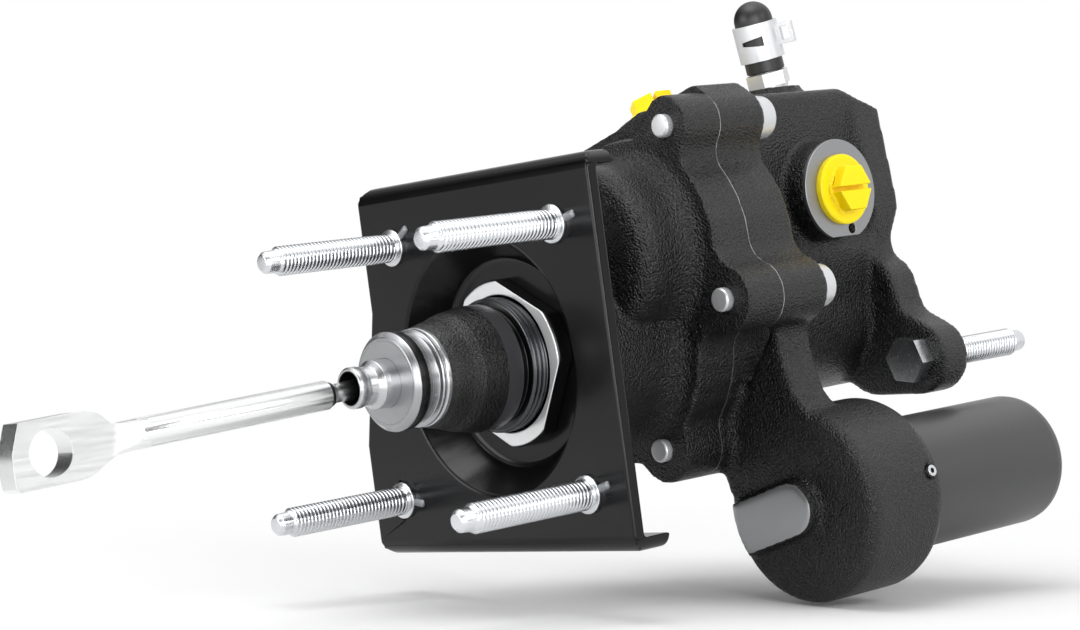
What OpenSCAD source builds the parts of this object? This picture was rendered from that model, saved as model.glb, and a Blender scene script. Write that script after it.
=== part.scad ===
// Hydraulic brake booster with its mounting bracket, pedal rod and accumulator.
// The bracket bolts to the firewall and the master cylinder bolts to the far flange.
// Frame: X to the right seen from the pedal, Y from the pedal to the master cylinder,
// Z up. The origin is on the main axis, in the bracket's firewall face.

/* [Mounting bracket] */
// sheet thickness
plate_thickness = 4.5; // [3:0.5:6]
// right edge, from the main axis
plate_right = 61; // [55:0.5:70]
// upper left edge, from the main axis
plate_left = 58.8; // [55:0.5:70]
// how far the lower left corner and its stud stand further out
left_step = 11.9; // [0:0.1:16]
// top bend, above the main axis
plate_top = 65; // [60:0.5:75]
// bottom bend, below the main axis
plate_bottom = 63; // [60:0.5:75]
// depth of the top edge flange, from the firewall face
top_flange = 12; // [10:0.5:20]
// depth of the bottom edge flange, from the firewall face
bottom_flange = 15.5; // [10:0.5:20]
// outside radius of the two bends
bend_radius = 6; // [5:0.5:8]
// radius of the dish at the firewall face
dish_rim = 44.5; // [42:0.5:47]
// radius of the dish floor
dish_floor = 35; // [33:0.5:37]
// depth of the dish
dish_depth = 13; // [10:0.5:16]

/* [Firewall studs] */
// thread diameter of the studs
stud_diameter = 10; // [8:1:12]
// length that stands out of the plate
stud_length = 55.3; // [40:0.1:70]
// sideways place of the studs, from the main axis
stud_side = 41.8; // [38:0.1:44]
// height of the studs above and below the main axis
stud_rise = 43.6; // [40:0.1:48]
// radius of the round collar at the plate
stud_collar = 6.4; // [6:0.1:8]

/* [Cover neck and nut] */
// how far the neck stands in front of the firewall face
neck_reach = 42.9; // [35:0.1:50]
// radius of the machined neck tip
tip_radius = 16.2; // [15:0.1:17]
// radius of the machined band at the neck's root
neck_root = 21; // [19:0.1:22]
// thread radius of the neck
neck_thread = 22.6; // [22:0.1:23.5]
// corner radius of the retaining nut
nut_radius = 28.3; // [27:0.1:30]
// half of the width across the nut's flats
nut_half_flats = 24.9; // [24.4:0.1:27]
// thickness of the retaining nut
nut_height = 6; // [4:0.5:8]

/* [Castings] */
// pedal side face of the cover's flange
cover_face = 58; // [54:0.5:62]
// joint between the cover and the housing
joint_face = 75; // [70:0.5:80]
// back of the housing's flange
flange_back = 97; // [92:0.5:102]
// front of the master cylinder flange
cylinder_flange_front = 161; // [156:0.5:166]
// thickness of the master cylinder flange
cylinder_flange = 14; // [12:0.5:18]
// radius of the cover's barrel around the main axis
barrel_radius = 32; // [31:0.5:34]
// radius of the cover's barrel around the spool axis
spool_barrel = 30; // [28:0.5:32]
// sideways place of the spool axis
spool_x = 14.7; // [12:0.1:18]
// height of the spool axis
spool_z = 32; // [30:0.5:34]
// radius of the housing's barrel
housing_barrel = 27.5; // [26:0.5:30]
// radius of the bolt ears
ear_radius = 11.5; // [10:0.5:13]
// radius of the topmost ear, which is smaller than the others
upper_ear = 10.2; // [9:0.1:11.5]
// thread diameter of the cover bolts
cover_bolt = 8; // [6:1:10]

/* [Working parts] */
// radius of the power piston's bore
piston_bore = 19; // [17:0.5:20]
// travel of the power piston
piston_travel = 24; // [15:1:26]
// travel of the plunger inside the piston
plunger_travel = 0.8; // [0.5:0.1:1]
// radius of the input plunger
plunger_radius = 8; // [7.5:0.1:8.5]
// radius of the plunger's front ring
plunger_ring = 6.75; // [6.5:0.05:7.4]
// how far the plunger stands out of the neck tip
plunger_reach = 14.8; // [10:0.1:18]
// radius of the spool valve
spool_radius = 6.5; // [5.5:0.1:7]
// radius of the output rod
output_radius = 6.3; // [5:0.1:7]
// running clearance of sliding parts
running_fit = 0.05; // [0.03:0.01:0.1]
// gap around parts that do not guide each other
free_gap = 0.3; // [0.3:0.05:0.6]

/* [Pedal rod] */
// rod diameter
rod_diameter = 9.4; // [8:0.1:11]
// diameter of the thin end that enters the plunger
rod_tail = 6.2; // [5:0.1:7]
// distance from the ball to the centre of the eye
rod_length = 127.8; // [110:0.1:145]
// how far the rod hangs down, in degrees
rod_droop = 2; // [0:0.5:4]
// half height of the eye
eye_radius = 11.7; // [10.5:0.1:13]
// thickness of the eye
eye_thickness = 8.4; // [7:0.1:10]
// radius of the hole for the pedal pin
eye_hole = 7.2; // [6:0.1:8]

/* [Accumulator] */
// sideways place of the accumulator
accumulator_x = 56; // [52:0.5:60]
// depth of the accumulator below the main axis
accumulator_drop = 61; // [58:0.5:64]
// radius of the cast cup
cup_radius = 33; // [31:0.5:35]
// length of the cast cup
cup_length = 37; // [33:0.5:41]
// radius of the gas can
can_radius = 23.3; // [21:0.1:24]
// far end of the gas can
can_end = 197; // [185:0.5:205]
// half width of the milled pad on the cup's front
pad_half = 9.5; // [8:0.1:11]
// how far the pad stands out of the cup's front
pad_height = 5; // [3:0.5:5.5]

/* [Ports and return line] */
// top of the valve block, above the main axis
block_top = 81; // [78:0.5:84]
// right side of the valve block
block_right = 31; // [29:0.5:33]
// left side of the valve block
block_left = 34; // [32:0.5:36]
// place of the pressure port along the housing
port_y = 137; // [134:0.5:140]
// height of the pressure port
port_z = 44; // [42:0.5:46]
// face of the pressure port, from the main axis
port_face = 42; // [38:0.5:46]
// radius of the port faces
port_radius = 17; // [15:0.5:18]
// bore radius of the ports
port_bore = 8; // [7:0.1:9]
// radius of the plugs' round flange
plug_flange = 12.4; // [11:0.1:13]
// half height of the plugs' six-sided grip
plug_grip = 7.5; // [7:0.1:8.5]
// lean of the return fitting towards the pedal, in degrees
return_lean = 10; // [0:1:15]
// outside radius of the rubber cap
cap_radius = 7; // [6:0.1:8]
// length of the rubber cap
cap_length = 26; // [20:0.5:32]

/* [Hidden] */
$fn = 64;
floor_back = dish_depth + plate_thickness;
plate_span = plate_left + left_step + 10;
nut_front = dish_depth - nut_height;
cylinder_face = cylinder_flange_front + cylinder_flange;
stud_spots = [[stud_side, stud_rise], [-stud_side, stud_rise],
              [stud_side, -stud_rise], [-stud_side - left_step, -stud_rise]];
bolt_spots = [[38.4, 72], [56, 12], [18, -37], [-36, -18], [-26, 50]];
shoulder_spot = [-22, 57.5];
cylinder_bolt = [46, -19.5];
cylinder_shank = 5.3;
collar_seat = 0.2;
ball_y = -neck_reach + 1;
ball_radius = 5;
cup_front = joint_face + 6;
cup_back = cup_front + cup_length;
can_mouth = cup_back - 22;
can_wall = 2;
valve_front = cup_front + 3;
spool_angle = atan2(spool_z, spool_x);
spool_distance = norm([spool_x, spool_z]);
lever_y = 44;
lever_thickness = 4;
lever_pivot = 13;
lever_pin_radius = 2;
pin_reach = 14.6;
bolt_reach = 45;
spring_radius = piston_bore - 5.5;
stem_radius = 3;
piston_front = joint_face + 9;
piston_back = piston_front + 26;
bore_end = piston_back + piston_travel + 17;
chamber = piston_bore + 4;
wire = 2.4;
gland_radius = 13.4;
gland_length = 8;
gland_lip = 1.8;
gland_groove = [-neck_reach + 3, -neck_reach + 6];
piston_groove = [piston_back - 8, piston_back - 5];
groove_depth = 2.4;
tail_hole = 12;
guide_height = 4;
gasket_width = 2.6;
gasket_depth = 1.5;
gasket_main = 25;
gasket_spool = 21;
valve_radius = 6;
valve_hole = 1.2;
drilling = 3;
spool_end = cylinder_face - 12;
spool_cap = 8;
ring_groove = [cup_back - 7, cup_back - 5];
lever_gap = 10.8;
lug_thickness = 3;
clear_cut = 2 * plate_span;
plug_rim = 2.6;
plug_height = 9;
return_spot = [10, 142, 84];
far_port_tilt = -22;
far_port_spot = [-19, 112, block_top - 9 * tan(-far_port_tilt) + 0.6];

// a round bar along Y
module bar(y0, y1, radius, radius_end = 0) {
    translate([0, y0, 0])
    rotate([-90, 0, 0])
    cylinder(h = y1 - y0, r1 = radius, r2 = radius_end == 0 ? radius : radius_end);
}

// a profile of [radius, y] turned around the Y axis
module turned() {
    rotate([-90, 0, 0])
    rotate_extrude()
    children();
}

// an outline in X and Z given a thickness along Y
module slab(y0, y1) {
    translate([0, y1, 0])
    rotate([90, 0, 0])
    linear_extrude(height = y1 - y0)
    children();
}

// moves its children onto the spool axis
module on_spool() {
    translate([spool_x, 0, spool_z])
    children();
}

// moves its children onto the accumulator's axis
module on_accumulator() {
    translate([accumulator_x, 0, -accumulator_drop])
    children();
}

// turns local X along the line from the main axis to the spool axis
module towards_spool() {
    rotate([0, -spool_angle, 0])
    children();
}

// Bracket
// the plate's outline seen from the pedal, with its step on the left
module plate_outline() {
    offset(r = 5)
    offset(delta = -5)
    polygon([[plate_right, -plate_bottom], [plate_right, plate_top],
             [-plate_left, plate_top], [-plate_left, 22],
             [-plate_left - left_step, -24], [-plate_left - left_step, -plate_bottom]]);
}

// side view of the sheet: a plate with both long edges bent back
module plate_section() {
    difference() {
        translate([bend_radius, bend_radius - plate_bottom])
        offset(r = bend_radius)
        square([60, plate_top + plate_bottom - 2 * bend_radius]);
        translate([bend_radius, bend_radius - plate_bottom])
        offset(r = bend_radius - plate_thickness)
        square([60, plate_top + plate_bottom - 2 * bend_radius]);
        translate([bottom_flange, -plate_bottom - 1])
        square([clear_cut, plate_bottom + 1]);
        translate([top_flange, -1])
        square([clear_cut, plate_top + 2]);
    }
}

// half section of the dish: rim, sloping wall and floor of even thickness
module dish_section() {
    wall_run = dish_rim - dish_floor;
    offset(r = 2)
    offset(delta = -2)
    offset(r = -3)
    offset(delta = 3)
    polygon([[neck_thread + 0.4, dish_depth], [dish_floor, dish_depth],
             [dish_floor + wall_run * 0.9, 0], [dish_rim + 8, 0],
             [dish_rim + 8, plate_thickness], [dish_rim + 2.4, plate_thickness],
             [dish_floor + 3.4, floor_back], [neck_thread + 0.4, floor_back]]);
}

module mounting_bracket() {
    color([0.05, 0.05, 0.055])
    difference() {
        union() {
            difference() {
                intersection() {
                    translate([-plate_span, 0, 0])
                    rotate([90, 0, 90])
                    linear_extrude(height = 2 * plate_span)
                    plate_section();
                    slab(-1, 40)
                    plate_outline();
                }
                bar(-1, plate_thickness + 1, dish_rim + 3);
            }
            turned()
            intersection() {
                dish_section();
                translate([0, -1])
                square([dish_rim + 5, 60]);
            }
            // the coined nib beside each stud keeps its collar from turning
            for (spot = stud_spots)
                translate([spot[0] + 6.2, 0, spot[1] + (spot[1] > 0 ? 4.6 : 2.2)])
                rotate([0, spot[1] > 0 ? -38 : -18, 0])
                translate([-0.6, 0.1, 0])
                rotate([0, 90, 0])
                cylinder(h = 4.6, r = 1.3, $fn = 24);
        }
        // stud holes, each with the shallow ring its collar is pressed into
        for (spot = stud_spots)
            translate([spot[0], 0, spot[1]]) {
                bar(-2, plate_thickness + 1, stud_diameter / 2 + running_fit);
                bar(-2, collar_seat, stud_collar + 0.1);
            }
    }
}

module firewall_studs() {
    radius = stud_diameter / 2;
    color([0.82, 0.83, 0.85])
    for (spot = stud_spots)
        translate([spot[0], 0, spot[1]])
        turned()
        polygon([[0, -stud_length], [radius * 0.5, -stud_length],
                 [radius * 0.74, -stud_length + 1.3], [radius * 0.78, -stud_length + 5],
                 [radius, -stud_length + 6.6], [radius, -1.6],
                 [stud_collar, -1.3], [stud_collar, collar_seat], [radius, collar_seat],
                 [radius, plate_thickness], [radius + 2.6, plate_thickness],
                 [radius + 2.6, plate_thickness + 3], [0, plate_thickness + 3]]);
}

module retaining_nut() {
    color([0.72, 0.73, 0.75])
    difference() {
        intersection() {
            union() {
                bar(nut_front + 0.8, dish_depth, nut_radius);
                bar(nut_front, nut_front + 0.8, nut_radius - 0.8, nut_radius);
            }
            rotate([0, -61, 0])
            cube([2 * nut_half_flats, 60, 2 * nut_half_flats], center = true);
        }
        bar(nut_front - 1, dish_depth + 1, neck_thread);
        bar(nut_front - 1, nut_front + 1.2, neck_thread + 1.2, neck_thread);
    }
}

// Castings
// outline shared by the cover's and the housing's flange, with five bolt ears
module flange_outline() {
    offset(r = -9, $fn = 32)
    offset(r = 9, $fn = 32)
    union($fn = 32) {
        circle(r = barrel_radius + 9.3);
        translate([spool_x + 1, spool_z - 1])
        circle(r = spool_barrel + 9);
        for (spot = bolt_spots)
            translate(spot)
            circle(r = spot == bolt_spots[0] ? upper_ear : ear_radius);
    }
}

// the housing's flange rises to a corner above the topmost ear and runs straight from
// there to its left shoulder, so its front face shows behind the cover's
module housing_outline() {
    flange_outline();
    hull($fn = 32) {
        translate(bolt_spots[0])
        circle(r = upper_ear);
        for (spot = [bolt_spots[4], shoulder_spot])
            translate(spot)
            circle(r = ear_radius);
        translate([bolt_spots[0][0] - 1, bolt_spots[0][1] + upper_ear + 1.3])
        circle(r = 1.5);
    }
}

// neck of the cover: machined tip with its groove, cast cone and machined root
module neck_section() {
    tip = -neck_reach;
    polygon([[0, tip], [tip_radius - 1.6, tip], [tip_radius, tip + 1.6],
             [tip_radius, tip + 5.4], [tip_radius - 1.7, tip + 5.8],
             [tip_radius - 1.7, tip + 10.6], [tip_radius - 0.2, tip + 11],
             [tip_radius - 0.2, tip + 12.2], [tip_radius - 0.8, tip + 12.6],
             [tip_radius, tip + 13], [tip_radius, tip + 14.4],
             [tip_radius + 0.9, tip + 17], [tip_radius + 2, tip + 22],
             [neck_root - 1.4, tip + 26], [neck_root - 0.6, tip + 31],
             [neck_root, -8.4], [neck_root, -2], [neck_root - 1.6, -1.4],
             [neck_root - 1.6, 1], [neck_thread - 0.8, 1.4], [neck_thread, 2.2],
             [neck_thread, floor_back],
             [barrel_radius - 2, floor_back], [barrel_radius, floor_back + 2],
             [barrel_radius, cover_face - 8], [barrel_radius + 0.6, cover_face - 5],
             [barrel_radius + 2.2, cover_face - 2], [barrel_radius + 5, cover_face],
             [barrel_radius + 5, cover_face + 4], [0, cover_face + 4]]);
}

// the cover's second barrel, around the spool axis, with its soft shoulder
module spool_barrel_section() {
    front = cover_face - 23;
    polygon([[0, front], [spool_barrel - 7, front], [spool_barrel - 3.2, front + 1],
             [spool_barrel - 0.9, front + 3.4], [spool_barrel, front + 7],
             [spool_barrel, cover_face - 8], [spool_barrel + 0.6, cover_face - 5],
             [spool_barrel + 2.2, cover_face - 2], [spool_barrel + 5, cover_face],
             [spool_barrel + 5, cover_face + 4], [0, cover_face + 4]]);
}

module booster_cover() {
    color([0.06, 0.06, 0.065])
    difference() {
        union() {
            turned()
            neck_section();
            on_spool()
            turned()
            spool_barrel_section();
            slab(cover_face, joint_face)
            flange_outline();
        }
        // seat of the gland in the tip and the long bore for the plunger
        bar(-neck_reach - 1, -neck_reach + gland_length + 3, gland_radius + running_fit);
        bar(-neck_reach, floor_back + 8, plunger_radius + 1.4);
        // the two chambers behind the neck, open towards the housing
        bar(floor_back + 6, joint_face + 1, chamber);
        on_spool()
        bar(lever_y - lever_thickness, joint_face + 1, 19);
        on_spool()
        bar(lever_y - 8, joint_face, stem_radius + free_gap);
        for (spot = bolt_spots)
            translate([spot[0], 0, spot[1]])
            bar(cover_face - 20, joint_face + 1, cover_bolt / 2 + running_fit);
        // groove for the gasket
        gasket_ring(gasket_depth);
    }
}

// the oval ring that seals the joint, or the groove it lies in
module gasket_ring(depth) {
    slab(joint_face - depth, joint_face + 0.01)
    difference() {
        gasket_line(gasket_width);
        gasket_line(0);
    }
}

module gasket_line(extra) {
    offset(r = -5)
    offset(r = 5)
    union() {
        circle(r = gasket_main + extra);
        translate([spool_x, spool_z])
        circle(r = gasket_spool + extra);
    }
}

module cover_gasket() {
    color([0.03, 0.03, 0.03])
    slab(joint_face - 1.5, joint_face)
    difference() {
        gasket_line(2.6 - running_fit);
        gasket_line(running_fit);
    }
}

module cover_bolts() {
    color([0.78, 0.79, 0.8])
    for (spot = bolt_spots)
        translate([spot[0], 0, spot[1]])
        difference() {
            turned()
            polygon([[0, cover_face - 2.6], [cover_bolt / 2 - 0.5, cover_face - 2.6],
                     [cover_bolt / 2, cover_face - 2.1], [cover_bolt / 2, flange_back],
                     [cover_bolt, flange_back], [cover_bolt, flange_back + 1.6],
                     [cover_bolt - 0.6, flange_back + 8],
                     [cover_bolt - 1.6, flange_back + 9], [0, flange_back + 9]]);
            translate([0, flange_back + 5, 0])
            rotate([-90, 0, 0])
            cylinder(h = 5, r = 3.4, $fn = 6);
        }
}

// outline of the flange that carries the master cylinder, with its two ears
module cylinder_outline() {
    offset(r = -8, $fn = 32)
    offset(r = 8, $fn = 32)
    union($fn = 32) {
        circle(r = housing_barrel);
        for (side = [0, 180], lobe = [[27, 6, 12.5], [each cylinder_bolt, 13]])
            rotate(side)
            hull() {
                translate([lobe[0], lobe[1]])
                circle(r = lobe[2]);
                translate([26, -14])
                circle(r = 18);
            }
        polygon([[-block_left + 8, 0], [block_right - 3, 18], [block_right - 1, 25],
                 [block_right + 4, 35], [block_right + 4, 41], [block_right, block_top - 4],
                 [block_right - 4, block_top], [-10, block_top],
                 [-block_left + 8, block_top - 9]]);
    }
}

// section of the valve block above the main barrel
module block_section() {
    offset(r = 3, $fn = 24)
    offset(delta = -3)
    polygon([[-block_left + 8, 0], [block_right - 5, 0], [block_right, 22],
             [block_right, block_top], [-10, block_top],
             [-block_left, block_top - (block_left - 10) * tan(-far_port_tilt)],
             [-block_left, 20]]);
}

// front view of the arm that joins the flange's right ear to the cup
module arm_outline() {
    offset(r = 2, $fn = 24)
    offset(delta = -2)
    polygon([[bolt_spots[1][0] + 3, 8], [bolt_spots[1][0], -4],
             [bolt_spots[1][0] + 0.6, -13], [accumulator_x + 3.6, -accumulator_drop + 38],
             [accumulator_x + 9, -accumulator_drop + 31],
             [accumulator_x + 10, -accumulator_drop + 10],
             [accumulator_x - 26, -accumulator_drop],
             [accumulator_x - 32.6, -accumulator_drop + 6],
             [accumulator_x - 33.6, -accumulator_drop + 11.6],
             [accumulator_x - 37, -accumulator_drop + 15.6],
             [accumulator_x - 3.6, -1], [accumulator_x - 6, 8]]);
}

// outside of the accumulator cup with its rounded edges
module cup_section() {
    polygon([[0, cup_front], [cup_radius - 3.4, cup_front],
             [cup_radius - 1.6, cup_front + 0.5], [cup_radius - 0.5, cup_front + 1.7],
             [cup_radius, cup_front + 3.6], [cup_radius, cup_back - 4],
             [cup_radius - 1.2, cup_back - 1.2], [cup_radius - 4, cup_back],
             [0, cup_back]]);
}

// the pad that stands on the cup's front and runs out to its lower left
module cup_pad() {
    on_accumulator()
    slab(cup_front - pad_height, cup_front + 1)
    intersection() {
        circle(r = cup_radius - 5.5);
        hull($fn = 48) {
            circle(r = pad_half);
            rotate(195)
            translate([cup_radius, 0])
            circle(r = pad_half);
        }
    }
}

module booster_housing() {
    color([0.06, 0.06, 0.065])
    difference() {
        union() {
            slab(joint_face, flange_back)
            housing_outline();
            bar(flange_back - 1, cylinder_flange_front + 1, housing_barrel);
            slab(flange_back - 4, cylinder_flange_front + 4)
            block_section();
            slab(cylinder_flange_front, cylinder_face)
            cylinder_outline();
            on_accumulator()
            turned()
            cup_section();
            cup_pad();
            // arm from the flange down to the cup
            slab(cup_front, flange_back)
            arm_outline();
            // pressure port boss on the right and the return boss on top
            difference() {
                translate([10, port_y, port_z])
                rotate([0, 90, 0])
                cylinder(h = port_face - 10, r = port_radius + 1);
                translate([0, port_y - 30, port_z - port_radius - 24])
                cube([port_face + 2, 60, 24.4]);
            }
            far_port_frame()
            translate([0, 0, -8])
            cylinder(h = 8, r1 = port_radius + 2, r2 = port_radius);
            translate([return_spot[0], return_spot[1] + 1, 60])
            cylinder(h = return_spot[2] - 60, r = 10.5);
        }
        // main bore, the guide's seat and the opening for the output rod
        bar(joint_face - 1, bore_end, piston_bore);
        bar(joint_face - 1, piston_front - 1, chamber);
        bar(bore_end - 1, cylinder_face + 1, output_radius + 1.7);
        bar(cylinder_face - 9, cylinder_face + 1, piston_bore - 0.6);
        on_spool() {
            bar(joint_face - 1, spool_end, spool_radius + running_fit);
            bar(joint_face - 1, joint_face + 5, 15);
            bar(spool_end, cylinder_face + 1, spool_cap);
        }
        for (spot = bolt_spots)
            translate([spot[0], 0, spot[1]]) {
                bar(joint_face - 1, flange_back + 1, cover_bolt / 2 + running_fit);
                bar(flange_back, flange_back + 14, cover_bolt + 0.6);
            }
        for (side = [1, -1])
            translate([side * cylinder_bolt[0], 0, side * cylinder_bolt[1]])
            bar(cylinder_flange_front - 1, cylinder_face + 1, cylinder_shank + running_fit);
        // can seat, ring groove and valve seat of the accumulator cup
        on_accumulator() {
            bar(can_mouth, cup_back + 1, can_radius + running_fit);
            bar(ring_groove[0], ring_groove[1], can_radius + 1.6);
            bar(valve_front, can_mouth + 1, valve_radius + running_fit);
            rotate([0, -12, 0])
            translate([can_radius, cup_back - 6, 0])
            rotate([0, 90, 0])
            cylinder(h = 20, r = 2.2);
        }
        // bores of the two line ports and of the return port
        translate([port_face - 14, port_y, port_z])
        rotate([0, 90, 0])
        cylinder(h = 20, r = port_bore);
        translate([port_face - 24, port_y, port_z])
        rotate([0, 90, 0])
        cylinder(h = 12, r = drilling);
        translate([port_face - 4, port_y + 3.6, port_z - port_radius + 2.9])
        rotate([0, 90, 0])
        cylinder(h = 6, r = 1.8);
        // the block's top slopes down behind the return boss
        translate([-plate_span, cylinder_flange_front - 4, block_top - 0.5])
        rotate([-25, 0, 0])
        cube([clear_cut, 40, 20]);
        far_port_frame() {
            translate([0, 0, -14])
            cylinder(h = 20, r = port_bore);
            translate([0, 0, -24])
            cylinder(h = 12, r = drilling);
        }
        translate([return_spot[0], return_spot[1], return_spot[2] - 13])
        cylinder(h = 20, r = 5 + running_fit);
    }
}

// frame of the port on the far shoulder, local Z out of its face
module far_port_frame() {
    translate(far_port_spot)
    rotate([0, far_port_tilt, 0])
    children();
}

// Input side
// the rod's own frame: ball at the origin, eye at -Y, drooping by rod_droop
module rod_frame() {
    translate([0, ball_y, 0])
    rotate([rod_droop, 0, 0])
    children();
}

module input_rod() {
    radius = rod_diameter / 2;
    color([0.75, 0.76, 0.77])
    rod_frame()
    difference() {
        union() {
            turned()
            polygon([[0, -rod_length + 32], [radius, -rod_length + 32],
                     [radius, -25.6], [radius - 0.7, -24.8], [radius - 0.7, -24],
                     [rod_tail / 2, -22.4], [rod_tail / 2, -ball_radius + 1],
                     [0, -ball_radius + 1]]);
            sphere(r = ball_radius);
            // flat eye, its cut corners and the taper into the round rod
            intersection() {
                translate([-eye_thickness / 2, -rod_length, 0])
                rotate([90, 0, 90])
                linear_extrude(height = eye_thickness)
                polygon([[-eye_radius - 1, -eye_radius + 3.2],
                         [-eye_radius + 0.2, -eye_radius + 2],
                         [eye_radius - 3, -eye_radius + 2],
                         [eye_radius + 1.3, -eye_radius + 2.7], [17.6, -6.4], [21.5, -4.7],
                         [26, -4.3], [34, -4.4], [34, 4.4], [24, 4.4], [21, 5.2], [19.3, 7],
                         [17, 8.9], [eye_radius + 1.8, eye_radius - 1.9],
                         [eye_radius - 2, eye_radius - 1.6],
                         [-eye_radius + 2.6, eye_radius - 1.6], [-eye_radius - 0.8, 1.6],
                         [-eye_radius - 1.2, -5.6]]);
                translate([0, -rod_length, 0])
                bar(-24, 36, 2 * eye_radius - 3, radius + 0.6);
            }
        }
        translate([-20, -rod_length, 0])
        rotate([0, 90, 0])
        cylinder(h = 40, r = eye_hole);
    }
}

module input_plunger() {
    tip = -neck_reach;
    groove = plunger_radius - 2;
    bore = ball_radius + 0.35;
    color([0.8, 0.8, 0.81])
    difference() {
        turned()
        polygon([[0, tip - plunger_reach], [plunger_ring - 0.5, tip - plunger_reach],
                 [plunger_ring, tip - plunger_reach + 0.5],
                 [plunger_ring, tip - plunger_reach + 3],
                 [plunger_ring - 0.7, tip - plunger_reach + 4.4],
                 [plunger_ring - 0.5, tip - plunger_reach + 7.5],
                 [plunger_radius - 0.8, tip - plunger_reach + 8.3],
                 [plunger_radius, tip - plunger_reach + 9],
                 [plunger_radius, lever_y - lever_thickness / 2 - 1.2],
                 [groove, lever_y - lever_thickness / 2 - 1.2],
                 [groove, lever_y + lever_thickness / 2 + 1.2],
                 [plunger_radius, lever_y + lever_thickness / 2 + 1.2],
                 [plunger_radius, piston_front + 2], [0, piston_front + 2]]);
        bar(tip - plunger_reach - 1, ball_y, bore);
        translate([0, ball_y, 0])
        sphere(r = bore);
    }
}

module neck_gland() {
    color([0.5, 0.5, 0.5])
    difference() {
        bar(-neck_reach, -neck_reach + gland_length, gland_radius);
        bar(-neck_reach - 1, -neck_reach + gland_length + 1, plunger_radius + running_fit);
        bar(gland_groove[0], gland_groove[1], plunger_radius + gland_lip);
    }
}

module plunger_seal() {
    color([0.03, 0.03, 0.03])
    difference() {
        bar(gland_groove[0], gland_groove[1], plunger_radius + gland_lip - running_fit);
        bar(gland_groove[0] - 1, gland_groove[1] + 1, plunger_radius + running_fit);
    }
}

module gland_ring() {
    color([0.6, 0.6, 0.62])
    difference() {
        bar(-neck_reach + gland_length, -neck_reach + gland_length + 1.4, gland_radius);
        bar(-neck_reach + gland_length - 1, -neck_reach + gland_length + 2, gland_radius - 2.8);
        translate([-3, -neck_reach + gland_length - 1, -gland_radius - 1])
        cube([6, 4, 6]);
    }
}

// Valve and piston
module control_lever() {
    half = lever_thickness / 2;
    color([0.62, 0.63, 0.65])
    towards_spool()
    difference() {
        slab(lever_y - half, lever_y + half)
        difference() {
            offset(r = 2)
            offset(delta = -2)
            polygon([[-lever_pivot - 4, -10.6], [12, -10.6], [18, -7],
                     [spool_distance + 6, -6], [spool_distance + 6, 6], [18, 7],
                     [12, 10.6], [-lever_pivot - 4, 10.6]]);
            // fork around the plunger's groove and fork around the spool's stem
            translate([-40, -plunger_radius + 1.6])
            square([40 + plunger_radius - 1.3, 2 * plunger_radius - 3.2]);
            translate([spool_distance - 4, -stem_radius - free_gap])
            square([20, 2 * stem_radius + 2 * free_gap]);
        }
        translate([-lever_pivot, lever_y, -pin_reach])
        cylinder(h = 2 * pin_reach, r = lever_pin_radius - 0.6);
    }
}

module lever_pin() {
    color([0.7, 0.7, 0.72])
    towards_spool()
    translate([-lever_pivot, lever_y, -pin_reach])
    cylinder(h = 2 * pin_reach, r = lever_pin_radius - 0.6 - running_fit);
}

module power_piston() {
    tail = plunger_radius + 1.2;
    color([0.66, 0.67, 0.69])
    difference() {
        union() {
            turned()
            polygon([[0, lever_y + 5], [tail + 3.4, lever_y + 5], [tail + 3.4, piston_front],
                     [piston_bore - running_fit - 1, piston_front],
                     [piston_bore - running_fit, piston_front + 1],
                     [piston_bore - running_fit, piston_groove[0]],
                     [piston_bore - running_fit - groove_depth, piston_groove[0]],
                     [piston_bore - running_fit - groove_depth, piston_groove[1]],
                     [piston_bore - running_fit, piston_groove[1]],
                     [piston_bore - running_fit, piston_back - 1],
                     [piston_bore - running_fit - 1, piston_back], [0, piston_back]]);
            // two lugs that carry the lever's pin
            towards_spool()
            for (side = [1, -1])
                translate([-lever_pivot - 3.4, lever_y - 3,
                           side > 0 ? lever_gap : -lever_gap - lug_thickness])
                cube([13, 12, lug_thickness]);
        }
        bar(lever_y, piston_front + 2 + plunger_travel + 0.6, plunger_radius + running_fit);
        bar(piston_back - tail_hole, piston_back + 1, output_radius + running_fit);
        towards_spool()
        translate([-lever_pivot, lever_y, -pin_reach - 4])
        cylinder(h = 2 * pin_reach + 8, r = lever_pin_radius - 0.6);
    }
}

module piston_seal() {
    color([0.03, 0.03, 0.03])
    difference() {
        bar(piston_groove[0], piston_groove[1], piston_bore - running_fit);
        bar(piston_groove[0] - 1, piston_groove[1] + 1,
            piston_bore - groove_depth - running_fit);
    }
}

// a coil spring along Y made of rings joined by short ramps
module coil(y0, y1, radius, turns, thick) {
    pitch = (y1 - y0 - thick) / turns;
    for (turn = [0 : turns])
        translate([0, y0 + thick / 2 + turn * pitch, 0])
        rotate([-90, 0, 0])
        rotate_extrude($fn = 40)
        translate([radius, 0])
        circle(r = thick / 2, $fn = 8);
    for (turn = [0 : turns - 1])
        rotate([0, turn * 120, 0])
        translate([radius, y0 + thick / 2 + turn * pitch, 0])
        rotate([-90, 0, 0])
        cylinder(h = pitch, r = thick * 0.4, $fn = 8);
}

module return_spring() {
    color([0.5, 0.51, 0.53])
    coil(piston_back, bore_end - guide_height, spring_radius, 4, wire);
}

module output_rod() {
    color([0.8, 0.8, 0.81])
    turned()
    polygon([[0, piston_back - tail_hole], [output_radius, piston_back - tail_hole],
             [output_radius, piston_back], [output_radius - 0.5, piston_back + 1],
             [output_radius - 0.5, cylinder_face - 2], [3.6, cylinder_face + 1],
             [2.4, cylinder_face + 2], [0, cylinder_face + 2]]);
}

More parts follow.
